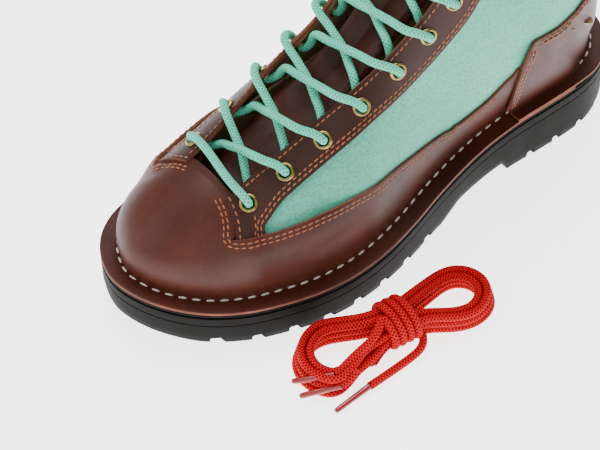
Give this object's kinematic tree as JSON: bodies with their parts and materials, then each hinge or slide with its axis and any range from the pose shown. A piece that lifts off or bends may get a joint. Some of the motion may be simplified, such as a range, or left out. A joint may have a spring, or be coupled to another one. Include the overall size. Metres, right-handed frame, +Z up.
{
  "type": "hiking boot",
  "caption": "Lace-up stitchdown hiking boot with lugged sole, panelled leather upper, hinged tongue and a spare lace hank beside it.",
  "frame": {"origin": "bottom centre of the boot: middle of its bounding box in X and Y, on the ground", "axes": "toe at -Y, heel at +Y, the wearer's outer (lateral) side at +X, +Z up"},
  "size_m": [0.1597, 0.3036, 0.2043],
  "materials": {
    "brown_leather": "waxed full-grain, slight sheen",
    "dark_brown_leather": "smooth oiled",
    "mint_leather": "fine pebbled nubuck, matt",
    "tan_lining": "unfinished calf lining",
    "black_rubber": "matt moulded",
    "grey_foam": "mesh over foam",
    "fibre_board": "pressed fibre board",
    "steel": "plain strip",
    "antique_brass": "antiqued, semi-gloss",
    "mint_lace": "round braided cord",
    "red_lace": "round braided cord",
    "aglet_plastic": "shrunk film"
  },
  "bodies": {
    "boot": {"outsole": "black_rubber", "midsole": "black_rubber", "insole_board": "fibre_board", "shank": "steel", "footbed": "grey_foam", "vamp": "brown_leather", "heel_counter": "brown_leather", "quarter_lateral": "mint_leather", "lace_stay_lateral": "dark_brown_leather", "lining_lateral": "tan_lining", "collar_pad_lateral": "grey_foam", "eyelet_lateral_1": "antique_brass", "eyelet_lateral_2": "antique_brass", "eyelet_lateral_3": "antique_brass", "eyelet_lateral_4": "antique_brass", "eyelet_lateral_5": "antique_brass", "eyelet_lateral_6": "antique_brass", "eyelet_lateral_7": "antique_brass", "speed_hook_lateral_1": "antique_brass", "speed_hook_lateral_2": "antique_brass", "lace_aglet_lateral": "aglet_plastic", "quarter_medial": "mint_leather", "lace_stay_medial": "dark_brown_leather", "lining_medial": "tan_lining", "collar_pad_medial": "grey_foam", "eyelet_medial_1": "antique_brass", "eyelet_medial_2": "antique_brass", "eyelet_medial_3": "antique_brass", "eyelet_medial_4": "antique_brass", "eyelet_medial_5": "antique_brass", "eyelet_medial_6": "antique_brass", "eyelet_medial_7": "antique_brass", "speed_hook_medial_1": "antique_brass", "speed_hook_medial_2": "antique_brass", "lace_aglet_medial": "aglet_plastic", "backstay": "dark_brown_leather", "lining_toe": "tan_lining", "toe_puff": "fibre_board", "heel_stiffener": "fibre_board", "lace": "mint_lace"},
    "tongue": {"tongue": "brown_leather"},
    "spare_laces": {"spare_lace_hank": "red_lace", "spare_lace_aglet": "red_lace"}
  },
  "joints": [
    {"name": "tongue_swing", "type": "hinge", "parent": "boot", "child": "tongue", "pos_m": [-0.005, -0.074, 0.07], "axis": [-1, 0, 0], "range_deg": [0, 5]},
    {"name": "spare_lace_lift", "type": "slide", "parent": "boot", "child": "spare_laces", "axis": [0, 0, 1], "range_m": [0, 0.25]}
  ]
}
